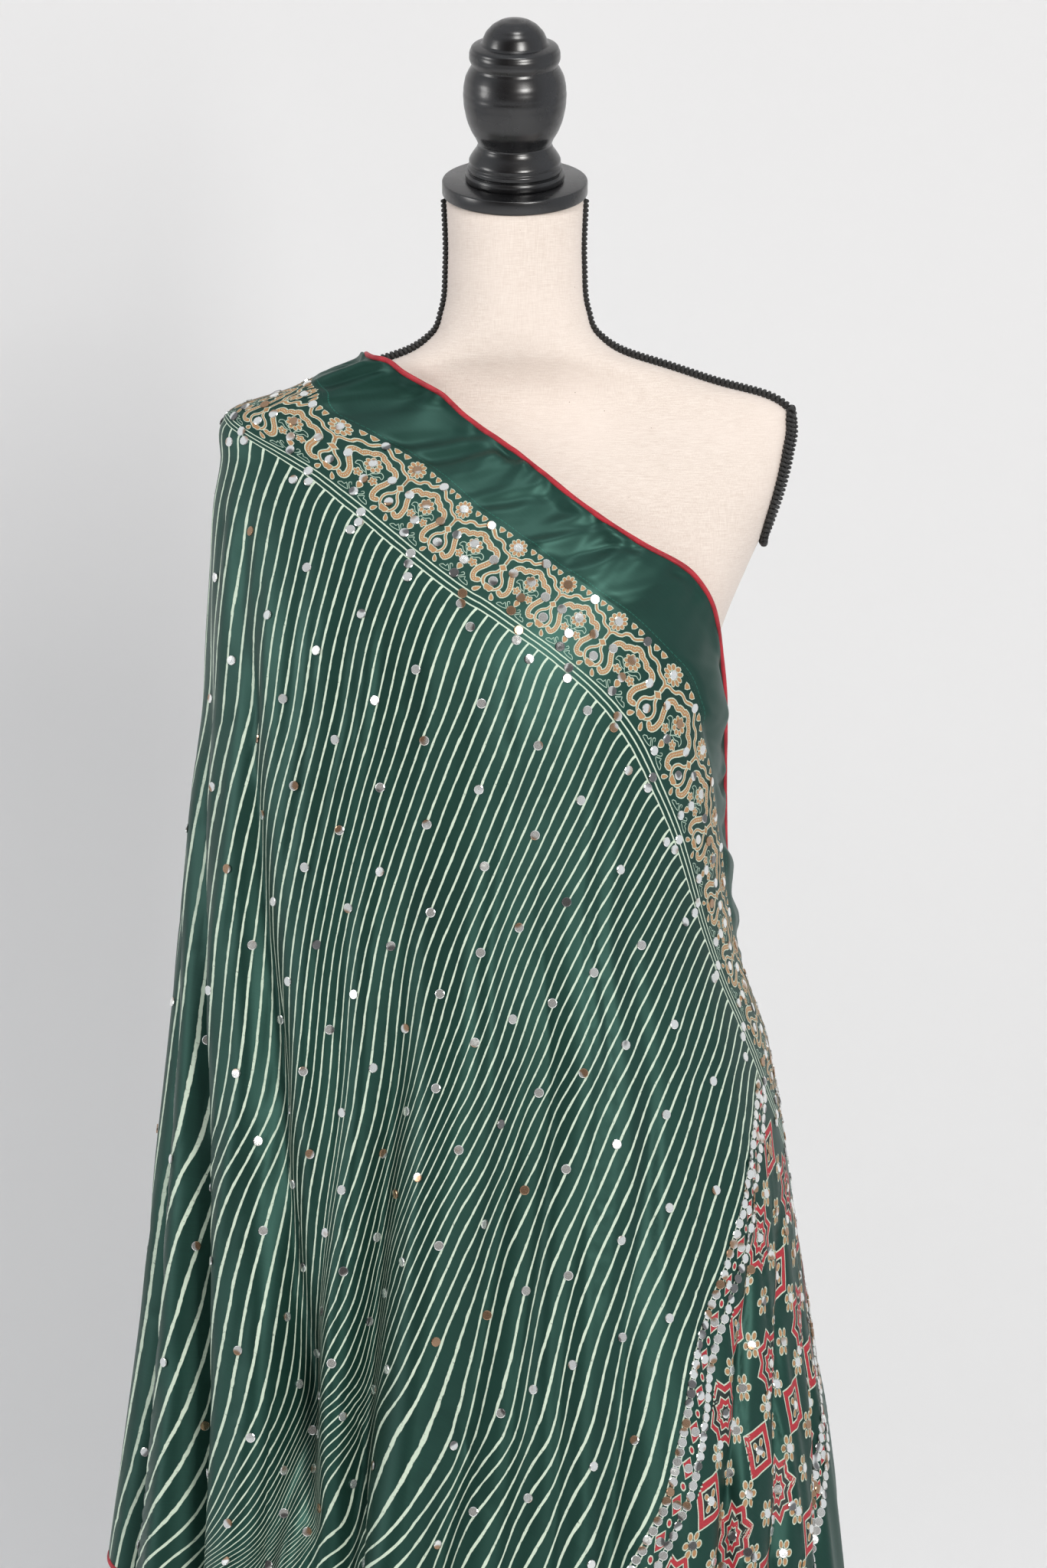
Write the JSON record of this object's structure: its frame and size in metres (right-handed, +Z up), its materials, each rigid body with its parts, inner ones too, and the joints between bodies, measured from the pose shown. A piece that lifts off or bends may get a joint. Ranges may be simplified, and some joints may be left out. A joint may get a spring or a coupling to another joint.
{
  "type": "ajrakh saree on dress form",
  "caption": "Block-printed saree with a piped border, draped over one shoulder of a limbless dress form on a round-base stand.",
  "frame": {"origin": "centre of the flat underside of the round base, on the floor", "axes": "+Z up, -Y towards the wearer's front, +X towards the form's left side"},
  "size_m": [0.5394, 0.4263, 1.7058],
  "materials": {
    "green_satin": "smooth bottle-green satin with a soft sheen",
    "printed_satin": "green satin printed with cream stripes, a scroll border and red and tan stars, set with small round mirrors",
    "red_piping": "round red cord piping",
    "canvas": "unbleached canvas with a fine weave and small flecks",
    "black_braid": "dull black woven braid",
    "black_gloss": "black gloss"
  },
  "bodies": {
    "root": {"form_torso": "canvas", "form_neck_cap": "black_gloss", "form_finial": "black_gloss", "form_base": "black_gloss", "form_pole": "black_gloss", "form_braid_right": "black_braid", "form_braid_left": "black_braid", "form_braid_armhole": "black_braid", "saree_skirt_wrap": "printed_satin", "saree_front_pleats": "printed_satin", "saree_shoulder_drape": "printed_satin", "saree_plain_band": "green_satin", "saree_upper_piping": "red_piping", "saree_hem_piping": "red_piping"}
  },
  "joints": []
}
